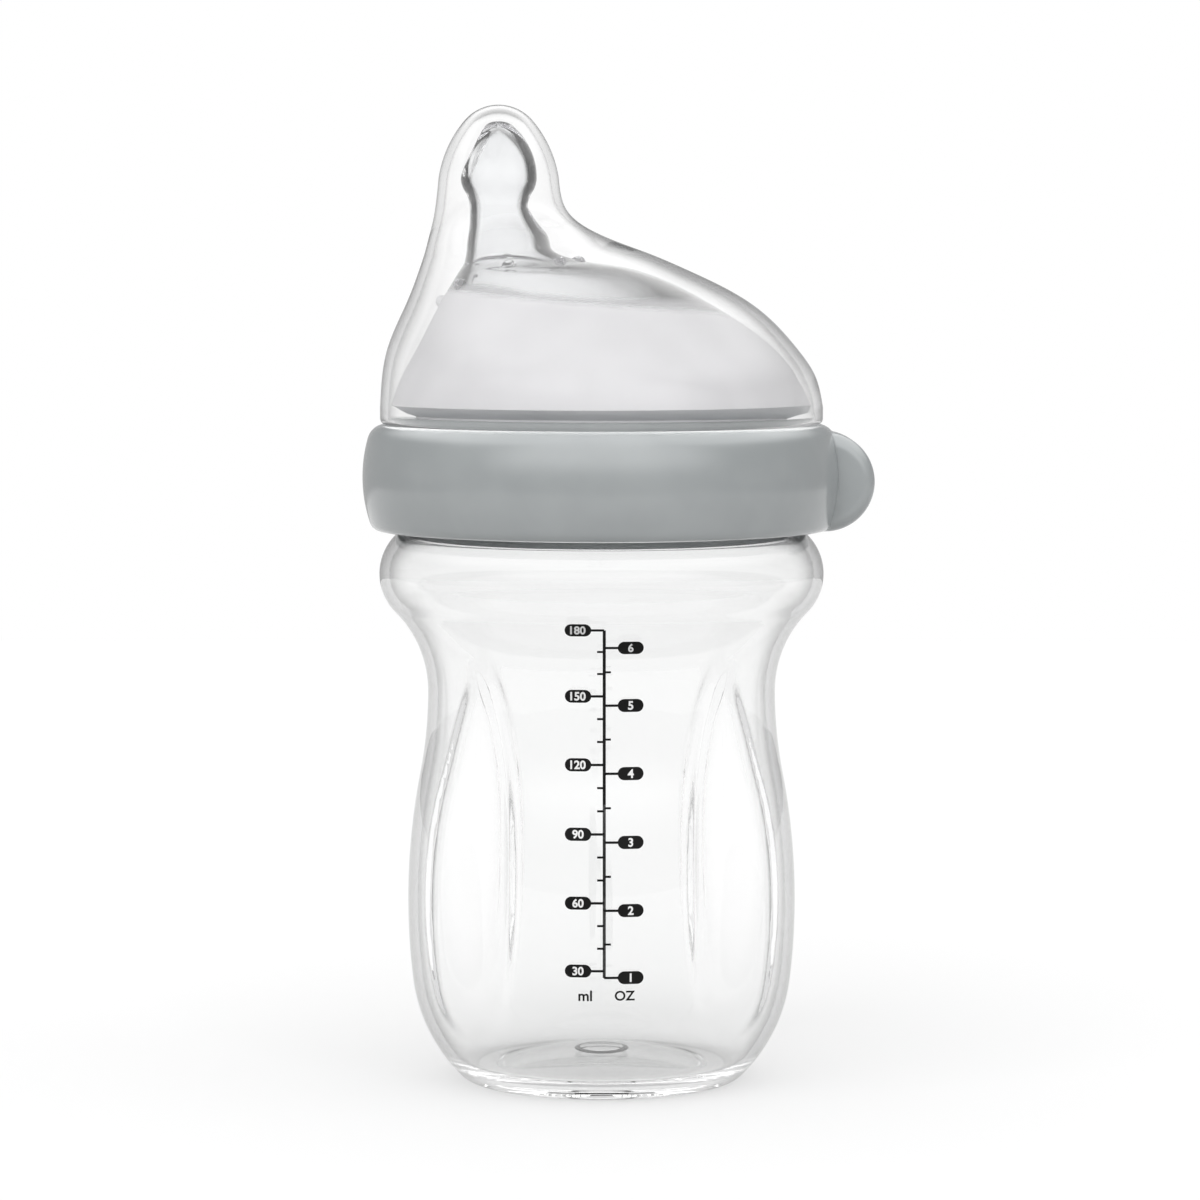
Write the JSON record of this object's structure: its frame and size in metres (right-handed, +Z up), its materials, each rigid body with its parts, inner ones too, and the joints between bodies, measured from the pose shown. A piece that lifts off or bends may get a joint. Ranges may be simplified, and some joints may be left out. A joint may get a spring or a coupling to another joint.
{
  "type": "feeding bottle",
  "caption": "Wide-neck clear feeding bottle with dished finger grips, a grey screw collar with a thumb lobe, a soft off-centre teat piece and a clear hood that lifts off.",
  "frame": {"origin": "centre of the foot ring, on the surface that the bottle stands on", "axes": "+Z up along the bottle's axis, +X towards the collar's thumb lobe, -X towards the off-centre teat, -Y towards the printed scale"},
  "size_m": [0.0847, 0.0792, 0.1622],
  "materials": {
    "clear_body": "clear, polished, with a black printed volume scale",
    "grey_collar": "opaque cool grey, glossy",
    "silicone": "translucent, glossy on the teat and frosted on the dome",
    "clear_hood": "clear, polished"
  },
  "bodies": {
    "bottle": {"bottle_body": "clear_body"},
    "nipple": {"nipple": "silicone"},
    "collar": {"collar_ring": "grey_collar"},
    "hood": {"hood": "clear_hood"}
  },
  "joints": [
    {"name": "nipple_lift", "type": "slide", "parent": "bottle", "child": "nipple", "axis": [0, 0, 1], "range_m": [0, 0.0075]},
    {"name": "collar_turn", "type": "hinge", "parent": "nipple", "child": "collar", "pos_m": [0, 0, 0.1], "axis": [0, 0, 1], "range_deg": [0, 450]},
    {"name": "hood_lift", "type": "slide", "parent": "nipple", "child": "hood", "axis": [0, 0, 1], "range_m": [0, 0.055]}
  ],
  "couplings": [
    {"joint": "nipple_lift", "follows": "collar_turn", "m_per_rad": 0.00095493}
  ]
}
